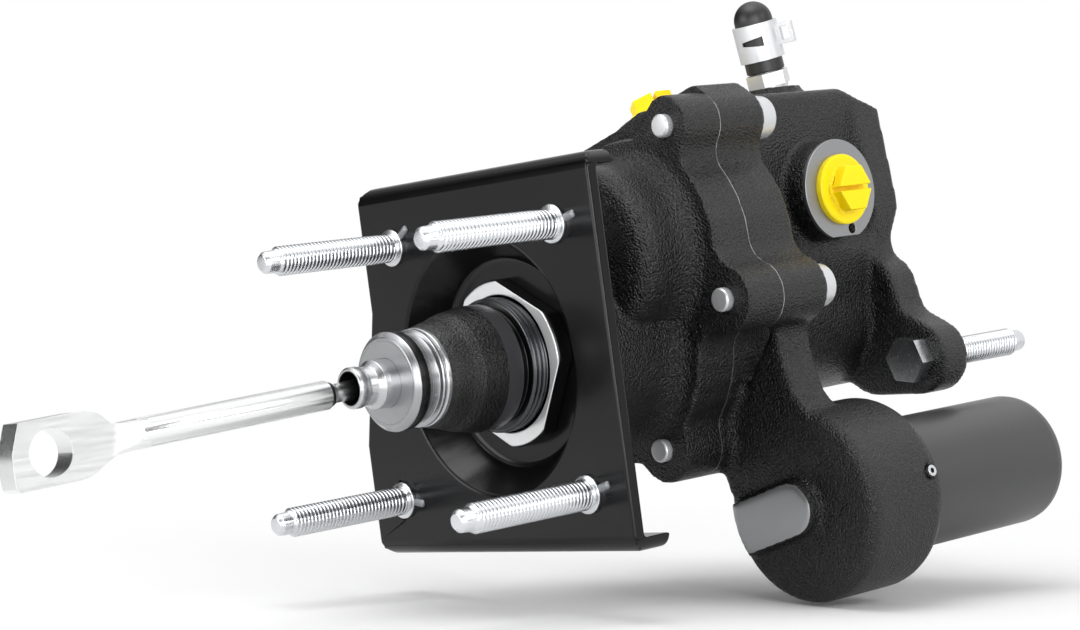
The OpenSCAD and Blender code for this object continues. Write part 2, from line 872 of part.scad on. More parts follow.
module output_guide() {
    color([0.55, 0.55, 0.57])
    difference() {
        bar(bore_end - guide_height, bore_end, piston_bore - running_fit);
        bar(bore_end - guide_height - 1, bore_end + 1, output_radius + running_fit);
        for (turn = [0 : 5])
            rotate([0, turn * 60, 0])
            translate([output_radius + 5.2, 0, 0])
            bar(bore_end - guide_height - 1, bore_end + 1, 1.8);
    }
}

module spool_valve() {
    land = spool_radius;
    neck = spool_radius - 2.2;
    color([0.7, 0.71, 0.73])
    on_spool()
    turned()
    polygon([[0, lever_y - 6], [stem_radius, lever_y - 6],
             [stem_radius, joint_face + 1], [land, joint_face + 1],
             [land, joint_face + 16], [neck, joint_face + 17], [neck, joint_face + 26],
             [land, joint_face + 27], [land, joint_face + 38], [neck, joint_face + 39],
             [neck, joint_face + 48], [land, joint_face + 49], [land, joint_face + 58],
             [0, joint_face + 58]]);
}

module spool_spring() {
    color([0.5, 0.51, 0.53])
    on_spool()
    coil(joint_face + 58, spool_end, spool_radius - 2, 5, wire / 2);
}

module spool_plug() {
    color([0.55, 0.55, 0.57])
    on_spool()
    difference() {
        bar(spool_end, cylinder_face - 1, spool_cap - running_fit);
        translate([0, cylinder_face - 6, 0])
        rotate([-90, 0, 0])
        cylinder(h = 8, r = 3.6, $fn = 6);
    }
}

// Accumulator
module accumulator_can() {
    color([0.14, 0.14, 0.15])
    on_accumulator()
    turned()
    polygon([[can_radius - can_wall, can_mouth], [can_radius, can_mouth],
             [can_radius, can_end - 4], [can_radius - 1.1, can_end - 1.3],
             [can_radius - 4, can_end], [0, can_end], [0, can_end - can_wall],
             [can_radius - can_wall - 2, can_end - can_wall],
             [can_radius - can_wall, can_end - can_wall - 2]]);
}

module accumulator_piston() {
    radius = can_radius - can_wall - running_fit;
    color([0.68, 0.69, 0.7])
    on_accumulator()
    turned()
    polygon([[0, can_mouth + 5], [radius, can_mouth + 5], [radius, can_mouth + 9],
             [radius - 2, can_mouth + 9], [radius - 2, can_mouth + 12],
             [radius, can_mouth + 12], [radius, can_mouth + 22],
             [radius - 4, can_mouth + 22], [radius - 4, can_mouth + 10],
             [0, can_mouth + 10]]);
}

module accumulator_seal() {
    radius = can_radius - can_wall - running_fit;
    color([0.03, 0.03, 0.03])
    on_accumulator()
    difference() {
        bar(can_mouth + 9, can_mouth + 12, radius);
        bar(can_mouth + 8, can_mouth + 13, radius - 2);
    }
}

module accumulator_ring() {
    color([0.8, 0.8, 0.82])
    on_accumulator() {
        difference() {
            bar(ring_groove[0] + free_gap / 2, ring_groove[1] - free_gap / 2, can_radius + 1.3);
            bar(ring_groove[0] - 1, ring_groove[1] + 1, can_radius + running_fit);
        }
        rotate([0, -12, 0])
        translate([can_radius + 0.6, cup_back - 6, 0])
        rotate([0, 90, 0])
        difference() {
            cylinder(h = cup_radius - can_radius + 0.4, r = 1.9);
            translate([0, 0, 4])
            cylinder(h = 20, r = 0.9);
        }
    }
}

module accumulator_valve() {
    color([0.75, 0.6, 0.3])
    on_accumulator()
    difference() {
        bar(valve_front, can_mouth - 0.2, valve_radius);
        bar(valve_front - 1, can_mouth + 1, valve_hole);
    }
}

// Ports
// shipping plug, local Z out of the port: stem, flange and six-sided slotted grip
module plug_shape() {
    translate([0, 0, -9])
    cylinder(h = 9.5, r = port_bore - free_gap);
    cylinder(h = plug_rim - 0.6, r = plug_flange);
    translate([0, 0, plug_rim - 0.6])
    cylinder(h = 0.6, r1 = plug_flange, r2 = plug_flange - 0.8);
    difference() {
        union() {
            translate([0, 0, 1])
            linear_extrude(height = plug_height - 1)
            polygon([[0, plug_grip], [plug_grip, plug_grip * 0.48],
                     [plug_grip, -plug_grip * 0.48], [0, -plug_grip],
                     [-plug_grip, -plug_grip * 0.48], [-plug_grip, plug_grip * 0.48]]);
            // the soft root of the grip
            translate([0, 0, plug_rim - 0.1])
            cylinder(h = 1.2, r1 = plug_grip + 1.8, r2 = plug_grip - 0.4);
        }
        translate([-0.8, -plug_grip - 3, plug_rim + 0.9])
        cube([1.6, 2 * plug_grip + 6, plug_height]);
    }
}

module right_port_frame() {
    translate([port_face, port_y, port_z])
    rotate([0, 90, 0])
    children();
}

module port_plug_right() {
    color([0.98, 0.82, 0.05])
    right_port_frame()
    plug_shape();
}

module port_plug_left() {
    color([0.98, 0.82, 0.05])
    far_port_frame()
    rotate([0, 0, 60])
    plug_shape();
}

module port_seats() {
    color([0.75, 0.6, 0.3]) {
        right_port_frame()
        translate([0, 0, -14])
        seat_shape();
        far_port_frame()
        translate([0, 0, -14])
        seat_shape();
    }
}

// the coned seat that a pipe flare closes against, at the bottom of a port
module seat_shape() {
    difference() {
        union() {
            cylinder(h = 1.2, r = port_bore - running_fit);
            cylinder(h = 3.6, r1 = 5, r2 = 3);
        }
        translate([0, 0, -1])
        cylinder(h = 8, r = 1.6);
    }
}

// the return fitting's frame, local Z up the leaning nipple
module return_frame() {
    translate(return_spot)
    rotate([return_lean, 0, 0])
    children();
}

module return_fitting() {
    color([0.8, 0.8, 0.82]) {
        translate([return_spot[0], return_spot[1], return_spot[2] - 12])
        cylinder(h = 12.2, r = 5);
        difference() {
            union() {
                return_frame()
                translate([0, 0, 1.2])
                cylinder(h = 5, r = 8, $fn = 6);
                translate(return_spot)
                cylinder(h = 3, r = 6.6);
                return_frame()
                cylinder(h = 22, r = 4.2);
                return_frame()
                for (bead = [12, 18])
                    translate([0, 0, bead])
                    cylinder(h = 1.5, r1 = 4.9, r2 = 4.2);
            }
            return_frame()
            translate([0, 0, 2])
            cylinder(h = 30, r = 2.4);
        }
    }
}

module return_cap() {
    wall = cap_radius - 4.9 - free_gap / 2;
    color([0.03, 0.03, 0.03])
    return_frame()
    translate([0, 0, 6.6])
    rotate_extrude()
    difference() {
        union() {
            square([cap_radius, cap_length - cap_radius]);
            translate([0, cap_length - cap_radius])
            intersection() {
                circle(r = cap_radius);
                square(cap_radius + 1);
            }
        }
        translate([0, -1])
        square([cap_radius - wall, cap_length - cap_radius]);
    }
}

// spring band clamp with a window and a squeezed loop on one side
module cap_clamp() {
    color([0.8, 0.8, 0.82])
    return_frame()
    translate([0, 0, 11])
    difference() {
        union() {
            cylinder(h = 13.5, r = cap_radius + 1.2);
            rotate([0, 0, 22])
            translate([cap_radius, -1.2, 4])
            difference() {
                cube([7, 2.4, 7.6]);
                translate([2.4, -1, 1.4])
                cube([3.4, 5, 4.8]);
            }
        }
        translate([0, 0, -1])
        cylinder(h = 16, r = cap_radius + running_fit);
        // tapered window that faces the pedal
        rotate([0, 0, -64])
        translate([cap_radius - 2, 0, 7])
        rotate([90, 0, 90])
        linear_extrude(height = 8)
        polygon([[-4, -0.6], [4, -1.8], [4, 1.8], [-4, 0.8]]);
    }
}

module master_cylinder_bolts() {
    color([0.8, 0.8, 0.82])
    for (side = [1, -1])
        translate([side * cylinder_bolt[0], 0, side * cylinder_bolt[1]]) {
            translate([0, cylinder_flange_front - 6.4, 0])
            rotate([-90, 0, 0])
            rotate([0, 0, 8])
            cylinder(h = 6.4, r = 8.7, $fn = 6);
            turned()
            polygon([[0, cylinder_flange_front - 1], [cylinder_shank, cylinder_flange_front - 1],
                     [cylinder_shank, cylinder_face - 0.4], [5, cylinder_face],
                     [5, cylinder_face + bolt_reach - 6], [4, cylinder_face + bolt_reach - 5],
                     [3.8, cylinder_face + bolt_reach - 1], [3, cylinder_face + bolt_reach],
                     [0, cylinder_face + bolt_reach]]);
        }
}

mounting_bracket();
firewall_studs();
retaining_nut();
booster_cover();
booster_housing();
cover_gasket();
cover_bolts();
input_rod();
input_plunger();
neck_gland();
plunger_seal();
gland_ring();
control_lever();
lever_pin();
power_piston();
piston_seal();
return_spring();
output_rod();
output_guide();
spool_valve();
spool_spring();
spool_plug();
accumulator_can();
accumulator_piston();
accumulator_seal();
accumulator_ring();
accumulator_valve();
port_plug_right();
port_plug_left();
port_seats();
return_fitting();
return_cap();
cap_clamp();
master_cylinder_bolts();
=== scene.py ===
import math

import bmesh
import bpy
from mathutils import Matrix, Vector


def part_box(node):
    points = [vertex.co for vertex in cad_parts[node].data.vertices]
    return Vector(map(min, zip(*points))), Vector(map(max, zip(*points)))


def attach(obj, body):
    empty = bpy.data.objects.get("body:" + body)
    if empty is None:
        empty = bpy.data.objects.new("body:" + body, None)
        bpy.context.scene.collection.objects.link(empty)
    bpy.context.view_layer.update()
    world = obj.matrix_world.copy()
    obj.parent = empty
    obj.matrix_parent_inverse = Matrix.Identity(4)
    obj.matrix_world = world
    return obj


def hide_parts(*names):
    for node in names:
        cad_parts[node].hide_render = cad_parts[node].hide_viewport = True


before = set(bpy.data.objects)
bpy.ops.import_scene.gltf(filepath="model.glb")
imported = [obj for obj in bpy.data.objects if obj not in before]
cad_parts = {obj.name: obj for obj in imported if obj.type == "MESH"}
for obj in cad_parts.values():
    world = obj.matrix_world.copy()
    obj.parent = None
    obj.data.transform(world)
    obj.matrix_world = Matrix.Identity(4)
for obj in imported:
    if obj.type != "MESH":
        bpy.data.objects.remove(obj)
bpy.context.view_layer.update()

# Camera
# It stands where the photograph was taken from: to the right of the push rod and level
# with it, turned about its own axis so that the booster climbs to the right.
def placed(name, data):
    """a new object with the data, in the scene"""
    made = bpy.data.objects.new(name, data)
    bpy.context.scene.collection.objects.link(made)
    return made


camera = placed("camera", bpy.data.cameras.new("camera"))
photo_right = Vector((0.65446861, 0.74488929, -0.12965641))
photo_down = Vector((-0.07315092, -0.10829721, -0.99142355))
photo_forward = Vector((-0.75254221, 0.65834008, -0.01638779))
stand_point = Vector((0.66102, -0.55225, 0.02881))
camera.matrix_world = Matrix((
    (photo_right.x, -photo_down.x, -photo_forward.x, stand_point.x),
    (photo_right.y, -photo_down.y, -photo_forward.y, stand_point.y),
    (photo_right.z, -photo_down.z, -photo_forward.z, stand_point.z),
    (0, 0, 0, 1),
))
camera.data.sensor_width = 36
camera.data.lens = 86.606
camera.data.clip_start = 0.01
camera.data.clip_end = 50
bpy.context.scene.camera = camera


# Mounting bracket
# A square plate of pressed steel sheet, dished round the neck, with both long edges bent
# back. It is stamped, then dipped in black electrocoat.
def linear(code):
    """a colour written as sRGB hex, as linear red, green, blue and alpha"""
    parts = [int(code[i:i + 2], 16) / 255 for i in (1, 3, 5)]
    return (*[p / 12.92 if p < 0.04045 else ((p + 0.055) / 1.055) ** 2.4 for p in parts], 1)


def add(tree, kind, settings=None, **inputs):
    """one node with its settings; an input is a value or another node's output"""
    node = tree.nodes.new(kind)
    for name, value in (settings or {}).items():
        setattr(node, name, value)
    for name, value in inputs.items():
        place = int(name[1:]) if name[0] == "i" and name[1:].isdigit() else name.replace("_", " ")
        if isinstance(value, bpy.types.NodeSocket):
            tree.links.new(value, node.inputs[place])
        else:
            node.inputs[place].default_value = value
    return node


def finish(name, **surface):
    """a new material with one surface shader, and its node tree"""
    made = bpy.data.materials.new(name)
    made.use_nodes = True
    tree = made.node_tree
    tree.nodes.clear()
    shader = add(tree, "ShaderNodeBsdfPrincipled", **surface)
    add(tree, "ShaderNodeOutputMaterial", Surface=shader.outputs[0])
    return made, tree, shader


def speckled(tree, shader, scale, strength, depth, detail=2.0, place=None):
    """lets fine noise stand up from the surface by depth, in metres, laid by the object's
    own place unless another is passed in; gives that place and the noise"""
    if place is None:
        place = add(tree, "ShaderNodeTexCoord").outputs["Object"]
    noise = add(tree, "ShaderNodeTexNoise", Vector=place, Scale=scale, Detail=detail)
    bump = add(tree, "ShaderNodeBump", Height=noise.outputs["Fac"], Strength=strength,
               Distance=depth)
    tree.links.new(bump.outputs["Normal"], shader.inputs["Normal"])
    return place, noise


def clouded(tree, shader, noise, low, high):
    """lets the roughness wander between low and high with the noise"""
    gloss = add(tree, "ShaderNodeMapRange", Value=noise.outputs["Fac"], To_Min=low,
                To_Max=high)
    tree.links.new(gloss.outputs["Result"], shader.inputs["Roughness"])


def sliced(mesh, y, way):
    """cuts off what lies beyond the plane at y on the side that way gives, and closes it"""
    work = bmesh.new()
    work.from_mesh(mesh)
    made = bmesh.ops.bisect_plane(
        work, geom=work.verts[:] + work.edges[:] + work.faces[:], dist=1e-7,
        plane_co=(0, y, 0), plane_no=(0, way, 0), clear_outer=True)
    rim = [part for part in made["geom_cut"] if isinstance(part, bmesh.types.BMEdge)]
    bmesh.ops.triangle_fill(work, use_beauty=True, edges=rim)
    bmesh.ops.recalc_face_normals(work, faces=work.faces)
    work.to_mesh(mesh)
    work.free()


def solid_copy(node, name):
    """the CAD node's shape as a new closed mesh, for a piece that stands for it"""
    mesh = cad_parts[node].data.copy()
    mesh.name = name
    work = bmesh.new()
    work.from_mesh(mesh)
    bmesh.ops.remove_doubles(work, verts=work.verts, dist=2e-6)
    bmesh.ops.dissolve_degenerate(work, edges=work.edges, dist=1e-6)
    bmesh.ops.dissolve_limit(
        work, angle_limit=math.radians(0.5), verts=work.verts, edges=work.edges)
    work.to_mesh(mesh)
    work.free()
    mesh.materials.clear()
    return placed(name, mesh)


def edge_softened(piece, width, sharp=35, steps=2, least=None, rim=0.0):
    """breaks the sharp edges by width, in metres, and shades the curves smooth; least is
    the shortest edge to break, which then gets the whole width, and edges nearer the main
    axis than rim, measured along X and Z, stay as they are"""
    for face in piece.data.polygons:
        face.use_smooth = True
    piece.data.set_sharp_from_angle(angle=math.radians(sharp))
    bevel = piece.modifiers.new("broken edge", "BEVEL")
    bevel.width = width
    bevel.segments = steps
    bevel.harden_normals = True
    if least is None:
        bevel.limit_method = "ANGLE"
        bevel.angle_limit = math.radians(sharp)
        bevel.use_clamp_overlap = True
        return piece
    bevel.limit_method = "WEIGHT"
    bevel.use_clamp_overlap = False
    bevel.loop_slide = False
    work = bmesh.new()
    work.from_mesh(piece.data)
    weights = [1.0 if edge.calc_length() > least
               and edge.calc_face_angle(0) > math.radians(sharp)
               and max(abs(edge.verts[0].co.x), abs(edge.verts[0].co.z)) >= rim
               else 0.0 for edge in work.edges]
    work.free()
    weight = piece.data.attributes.new("bevel_weight_edge", "FLOAT", "EDGE")
    weight.data.foreach_set("value", weights)
    flat = piece.modifiers.new("flat faces stay flat", "WEIGHTED_NORMAL")
    flat.keep_sharp = True
    return piece


def fitted(piece, body, material, slot, *nodes):
    """gives a finished piece its material and its body, and hides the CAD nodes it stands for"""
    piece.data.materials.clear()
    piece.data.materials.append(material)
    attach(piece, body)
    if nodes:
        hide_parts(*nodes)


# Electrocoat is a thin, even black film with a good gloss; it shows soft long
# reflections and a very faint orange peel.
electrocoat, tree, shader = finish(
    "black electrocoat on steel sheet", Base_Color=linear("#0a0a0b"), Roughness=0.2,
    Specular_IOR_Level=0.27)
place, _ = speckled(tree, shader, 260.0, 0.05, 0.0003)
cloud = add(tree, "ShaderNodeTexNoise", Vector=place, Scale=30.0, Detail=3.0)
clouded(tree, shader, cloud, 0.15, 0.24)
# the nibs beside the studs are a piece of their own here, so the plate's face is cut flat;
# only its outline is rounded, and the holes for neck and studs stay sharp
face_skim = 0.00002
outline_from = 0.054
bracket = solid_copy("mounting_bracket", "bracket_plate")
sliced(bracket.data, face_skim, -1)
edge_softened(bracket, 0.0009, 35, 3, least=0.00005, rim=outline_from)
fitted(bracket, "booster_body", electrocoat, "bracket_paint", "mounting_bracket")


# Firewall studs
# Four pressed-in steel studs with a rolled thread of 1.5 mm pitch, a plain tip that
# guides the nut and a round collar against the plate, all bright zinc plated.
def softened(profile, radius):
    """a closed outline with every corner rounded off by three short steps"""
    result = []
    count = len(profile)
    for i, corner in enumerate(profile):
        here = Vector(corner)
        back = Vector(profile[i - 1]) - here
        on = Vector(profile[(i + 1) % count]) - here
        reach = min(radius, back.length * 0.4, on.length * 0.4)
        if here.x < 1e-9 or reach < 1e-9:
            result.append(tuple(here))
            continue
        start, end = here + back.normalized() * reach, here + on.normalized() * reach
        for t in (0, 0.33, 0.67, 1):
            result.append(tuple(start.lerp(here, t).lerp(here.lerp(end, t), t)))
    return result


def turned(name, profile, steps=96, radius=0.25, at=(0, 0)):
    """a shape turned on the lathe about Y from a closed outline of (radius, y) in mm;
    an outline that starts on the axis is closed by its own points there"""
    mesh = bpy.data.meshes.new(name)
    work = bmesh.new()
    rings = []
    for r, y in softened([(r / 1000, y / 1000) for r, y in profile], radius / 1000):
        if r < 1e-9:
            rings.append([work.verts.new((at[0] / 1000, y, at[1] / 1000))])
            continue
        rings.append([
            work.verts.new((at[0] / 1000 + r * math.cos(a), y, at[1] / 1000 + r * math.sin(a)))
            for a in (2 * math.pi * k / steps for k in range(steps))])
    for one, two in zip(rings, rings[1:] + rings[:1]):
        if len(one) == 1 and len(two) == 1:
            continue
        for k in range(steps):
            corners = [one[k % len(one)], one[(k + 1) % steps % len(one)],
                       two[(k + 1) % steps % len(two)], two[k % len(two)]]
            corners = list(dict.fromkeys(corners))
            if len(corners) > 2:
                work.faces.new(corners)
    bmesh.ops.recalc_face_normals(work, faces=work.faces)
    work.to_mesh(mesh)
    work.free()
    for face in mesh.polygons:
        face.use_smooth = True
    mesh.set_sharp_from_angle(angle=math.radians(32))
    return placed(name, mesh)


def node_group(name, sockets):
    """a new Geometry Nodes tree with a geometry in and out and the named inputs"""
    group = bpy.data.node_groups.new(name, "GeometryNodeTree")
    group.interface.new_socket("Geometry", in_out="OUTPUT", socket_type="NodeSocketGeometry")
    group.interface.new_socket("Geometry", in_out="INPUT", socket_type="NodeSocketGeometry")
    for socket, kind in sockets.items():
        group.interface.new_socket(socket, in_out="INPUT", socket_type="NodeSocket" + kind)
    return group, group.nodes.new("NodeGroupInput").outputs


def settled(piece):
    """keeps what the modifiers make of the piece as its own plain mesh"""
    bpy.context.view_layer.update()
    shown = piece.evaluated_get(bpy.context.evaluated_depsgraph_get())
    mesh = bpy.data.meshes.new_from_object(shown)
    piece.modifiers.clear()
    piece.data = mesh
    return mesh


def grown(piece, group, **values):
    """runs the tree on the piece and keeps the result as a plain mesh"""
    modifier = piece.modifiers.new(group.name, "NODES")
    modifier.node_group = group
    for item in group.interface.items_tree:
        if item.in_out == "INPUT" and item.name in values:
            modifier[item.identifier] = values[item.name]
    settled(piece)


# The thread is one diamond-shaped ridge laid along a spiral on the core.
thread_tree, given = node_group(
    "rolled thread", {"Radius": "Float", "Pitch": "Float", "Length": "Float", "Start": "Float",
                      "Finish": "Material"})
turns = add(thread_tree, "ShaderNodeMath", {"operation": "DIVIDE"},
            i0=given["Length"], i1=given["Pitch"])
ridge = add(thread_tree, "ShaderNodeMath", {"operation": "MULTIPLY"}, i0=given["Pitch"], i1=0.46)
middle = add(thread_tree, "ShaderNodeMath", {"operation": "SUBTRACT"},
             i0=given["Radius"], i1=ridge.outputs[0])
spiral = add(thread_tree, "GeometryNodeCurveSpiral", Resolution=28, Rotations=turns.outputs[0],
             Start_Radius=middle.outputs[0], End_Radius=middle.outputs[0], Height=given["Length"])
upright = add(thread_tree, "GeometryNodeSetCurveNormal", {"mode": "Z_UP"},
              Curve=spiral.outputs[0])
diamond = add(thread_tree, "GeometryNodeCurvePrimitiveCircle", Resolution=4,
              Radius=ridge.outputs[0])
laid = add(thread_tree, "GeometryNodeCurveToMesh", Curve=upright.outputs[0],
           Profile_Curve=diamond.outputs[0], Fill_Caps=True)
start = add(thread_tree, "ShaderNodeCombineXYZ", Y=given["Start"])
along = add(thread_tree, "GeometryNodeTransform", Geometry=laid.outputs[0],
            Translation=start.outputs[0], Rotation=(-math.pi / 2, 0, 0))
whole = add(thread_tree, "GeometryNodeJoinGeometry")
thread_tree.links.new(given["Geometry"], whole.inputs[0])
thread_tree.links.new(along.outputs[0], whole.inputs[0])
real = add(thread_tree, "GeometryNodeRealizeInstances", Geometry=whole.outputs[0])
plated = add(thread_tree, "GeometryNodeSetMaterial", Geometry=real.outputs[0],
             Material=given["Finish"])
add(thread_tree, "NodeGroupOutput", Geometry=plated.outputs[0])

# The same part is set at each given point.
repeat_tree, given = node_group("part at each place", {"Part": "Object", "Finish": "Material"})
points = add(repeat_tree, "GeometryNodeMeshToPoints", Mesh=given["Geometry"])
part = add(repeat_tree, "GeometryNodeObjectInfo", Object=given["Part"])
copies = add(repeat_tree, "GeometryNodeInstanceOnPoints", Points=points.outputs[0],
             Instance=part.outputs["Geometry"])
real = add(repeat_tree, "GeometryNodeRealizeInstances", Geometry=copies.outputs[0])
plated = add(repeat_tree, "GeometryNodeSetMaterial", Geometry=real.outputs[0],
             Material=given["Finish"])
add(repeat_tree, "NodeGroupOutput", Geometry=plated.outputs[0])


def repeated(name, part, places, material):
    """copies of the part, moved to each place (x, z) in mm, as one mesh"""
    mesh = bpy.data.meshes.new(name)
    mesh.from_pydata([(x / 1000, 0, z / 1000) for x, z in places], [], [])
    piece = placed(name, mesh)
    grown(piece, repeat_tree, Part=part, Finish=material)
    bpy.data.objects.remove(part)
    return piece


# Zinc plate is a bright, slightly blue metal film with a soft, cloudy gloss.
zinc, tree, shader = finish(
    "bright zinc plate", Base_Color=linear("#d6d8db"), Metallic=1.0, Roughness=0.24)
_, cloud = speckled(tree, shader, 420.0, 0.08, 0.0001, detail=4.0)
clouded(tree, shader, cloud, 0.16, 0.34)

# radius and pitch of the M10 thread in metres, and the studs' axes (x, z) in mm
thread = {"Radius": 0.005, "Pitch": 0.0015}
stud_places = ((41.8, 43.6), (-41.8, 43.6), (41.8, -43.6), (-53.7, -43.6))
stud = turned("stud_part", [
    (0, -55.3), (2.6, -55.3), (3.7, -54.0), (3.9, -50.3), (4.45, -49.2), (4.45, -2.2), (5, -1.9),
    (5, -1.5), (6.4, -1.3), (6.4, 0.2), (5, 0.2), (5, 4.5), (7.6, 4.5), (7.6, 7.5), (0, 7.5)],
    steps=40, radius=0.3)
grown(stud, thread_tree, Length=0.0465, Start=-0.0491, Finish=zinc, **thread)
studs = repeated("threaded_studs", stud, stud_places, zinc)
fitted(studs, "booster_body", zinc, "stud_zinc", "firewall_studs")

# the nib beside each collar, which keeps the stud from turning, is left in bare grey
phosphate, tree, shader = finish(
    "grey phosphated steel", Base_Color=linear("#8b8d90"), Metallic=0.6, Roughness=0.42)
speckled(tree, shader, 1200.0, 0.2, 0.0001, detail=3.0)
work = bmesh.new()
nib_leans = (13, 35, 16, -8)
for (x, z), lean in zip(stud_places, nib_leans):
    nib = turned("nib_part", [(0, 6), (1, 6), (1.4, 6.4), (1.4, 10), (1, 10.8), (0, 11)], 24)
    nib.data.transform(
        Matrix.Translation((x / 1000, 0.0003, z / 1000))
        @ Matrix.Rotation(-math.radians(lean), 4, "Y") @ Matrix.Rotation(-math.pi / 2, 4, "Z"))
    work.from_mesh(nib.data)
    bpy.data.objects.remove(nib)
nib_mesh = bpy.data.meshes.new("collar_nibs")
work.to_mesh(nib_mesh)
work.free()
fitted(placed("collar_nibs", nib_mesh), "booster_body", phosphate, "bracket_paint")

# Retaining nut
# The thin ring nut that clamps the bracket to the cover's threaded neck. It is milled from
# steel bar; it is coloured near-black, but for its front face, which is bright.
def ringed(tree, shader, scale, wander, strength, depth):
    """fine rings about the main axis, as a lathe or a grinder leaves them; gives the
    object's own place"""
    place = add(tree, "ShaderNodeTexCoord").outputs["Object"]
    rings = add(tree, "ShaderNodeTexWave", {"wave_type": "RINGS", "rings_direction": "Y"},
                Vector=place, Scale=scale, Distortion=wander, Detail=2.0)
    bump = add(tree, "ShaderNodeBump", Height=rings.outputs["Fac"], Strength=strength,
               Distance=depth)
    tree.links.new(bump.outputs["Normal"], shader.inputs["Normal"])
    return place


ground, tree, shader = finish(
    "ground bright steel", Base_Color=linear("#ececee"), Metallic=0.45, Roughness=0.24)
ringed(tree, shader, 900.0, 0.4, 0.05, 0.00005)
nut_finish, tree, shader = finish(
    "steel, near-black with a bright front face", Roughness=0.24, Specular_IOR_Level=0.4)
place = ringed(tree, shader, 900.0, 0.4, 0.05, 0.00005)
axes = add(tree, "ShaderNodeSeparateXYZ", Vector=place).outputs
# the mask of the bright face is the nut's front, to a quarter of a millimetre
face = add(tree, "ShaderNodeMath", {"operation": "COMPARE"}, i0=axes["Y"],
           i1=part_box("retaining_nut")[0][1], i2=0.00025)
tint = add(tree, "ShaderNodeMix", {"data_type": "RGBA"}, Factor=face.outputs[0],
           i6=linear("#19191a"), i7=linear("#e6e7e8"))
metal = add(tree, "ShaderNodeMath", {"operation": "MULTIPLY"}, i0=face.outputs[0], i1=0.6)
tree.links.new(tint.outputs[2], shader.inputs["Base Color"])
tree.links.new(metal.outputs[0], shader.inputs["Metallic"])
nut = edge_softened(solid_copy("retaining_nut", "ring_nut"), 0.0003, 25, least=0.0012)
fitted(nut, "booster_body", nut_finish, "nut_steel", "retaining_nut")


# Cover and housing
# Two sand castings in iron, bolted face to face. Their outside keeps the grain of the
# mould under black enamel, and the faces that seal or carry something are milled bare.
def cast_copy(node, name, voxel, passes, joint, way, cut=None):
    """the CAD node as a casting: sharp edges and inner corners melt into small radii, and
    the face at the joint, which is cast a little proud, is milled flat again"""
    piece = solid_copy(node, name)
    if cut is not None:
        sliced(piece.data, cut, -1)
    for vertex in piece.data.vertices:
        if abs(vertex.co.y - joint) < 1e-5:
            vertex.co.y += way * 0.001
    remesh = piece.modifiers.new("cast skin", "REMESH")
    remesh.mode = "VOXEL"
    remesh.voxel_size = voxel
    remesh.use_smooth_shade = True
    smooth = piece.modifiers.new("melted edges", "SMOOTH")
    smooth.factor = 0.5
    smooth.iterations = passes
    mesh = settled(piece)
    sliced(mesh, joint, way)
    for face in mesh.polygons:
        face.use_smooth = True
    mesh.set_sharp_from_angle(angle=math.radians(50))
    return piece


def enamel(name, bare):
    """black enamel over cast iron, with the boxes of bare milled face given in mm"""
    made, tree, shader = finish(name, Roughness=0.3, Specular_IOR_Level=0.42)
    place = add(tree, "ShaderNodeTexCoord").outputs["Object"]
    axes = add(tree, "ShaderNodeSeparateXYZ", Vector=place).outputs
    milled = None
    for box in bare:
        inside = None
        for axis, (low, high) in box.items():
            near = add(tree, "ShaderNodeMath", {"operation": "COMPARE"}, i0=axes[axis],
                       i1=(low + high) / 2000, i2=(high - low) / 2000)
            inside = near.outputs[0] if inside is None else add(
                tree, "ShaderNodeMath", {"operation": "MULTIPLY"},
                i0=inside, i1=near.outputs[0]).outputs[0]
        milled = inside if milled is None else add(
            tree, "ShaderNodeMath", {"operation": "MAXIMUM"}, i0=milled, i1=inside).outputs[0]
    # sand grain of about 1 mm, as leather, with a finer one in it
    grain = add(tree, "ShaderNodeTexNoise", Vector=place, Scale=1500.0, Detail=2.0,
                Roughness=0.55, Distortion=0.5)
    pebble = add(tree, "ShaderNodeTexVoronoi", {"feature": "SMOOTH_F1"}, Vector=place,
                 Scale=1350.0, Smoothness=0.4)
    mixed = add(tree, "ShaderNodeMath", {"operation": "SUBTRACT"},
                i0=grain.outputs["Fac"], i1=pebble.outputs["Distance"])
    grained = add(tree, "ShaderNodeBump", Height=mixed.outputs[0], Strength=1.0, Distance=0.0005)
    cutter = add(tree, "ShaderNodeTexNoise", Vector=place, Scale=700.0, Detail=2.0)
    marked = add(tree, "ShaderNodeBump", Height=cutter.outputs["Fac"], Strength=0.08,
                 Distance=0.0001)
    normal = add(tree, "ShaderNodeMix", {"data_type": "VECTOR"}, Factor=milled,
                 i4=grained.outputs[0], i5=marked.outputs[0])
    colour = add(tree, "ShaderNodeMix", {"data_type": "RGBA"}, Factor=milled,
                 i6=linear("#060607"), i7=linear("#a3a4a6"))
    shine = add(tree, "ShaderNodeMath", {"operation": "MULTIPLY"}, i0=milled, i1=0.7)
    cloud = add(tree, "ShaderNodeTexNoise", Vector=place, Scale=60.0, Detail=3.0)
    clouded(tree, shader, cloud, 0.24, 0.36)
    tree.links.new(colour.outputs[2], shader.inputs["Base Color"])
    tree.links.new(shine.outputs[0], shader.inputs["Metallic"])
    tree.links.new(normal.outputs[1], shader.inputs["Normal"])
    return made


# the plane where both castings meet, and the one in front of which the cover's neck is a
# piece of its own
joint_plane = 0.075
neck_root = 0.0122
cover_enamel = enamel("black enamel on the cast cover", [{"Y": (74.6, 75.4)}])
cover = cast_copy("booster_cover", "cover_casting", 0.001, 3, joint_plane, 1, cut=neck_root)
fitted(cover, "booster_body", cover_enamel, "cast_black", "booster_cover")

housing_enamel = enamel("black enamel on the cast housing", [
    {"Y": (75.6, 76.4), "X": (20, 70), "Z": (-85, -49)},
    {"X": (41.6, 42.4), "Y": (112, 162), "Z": (20, 66)},
    {"Y": (174.6, 175.4)}])
housing = cast_copy("booster_housing", "housing_casting", 0.0012, 3, joint_plane, -1)
fitted(housing, "booster_body", housing_enamel, "cast_black", "booster_housing")

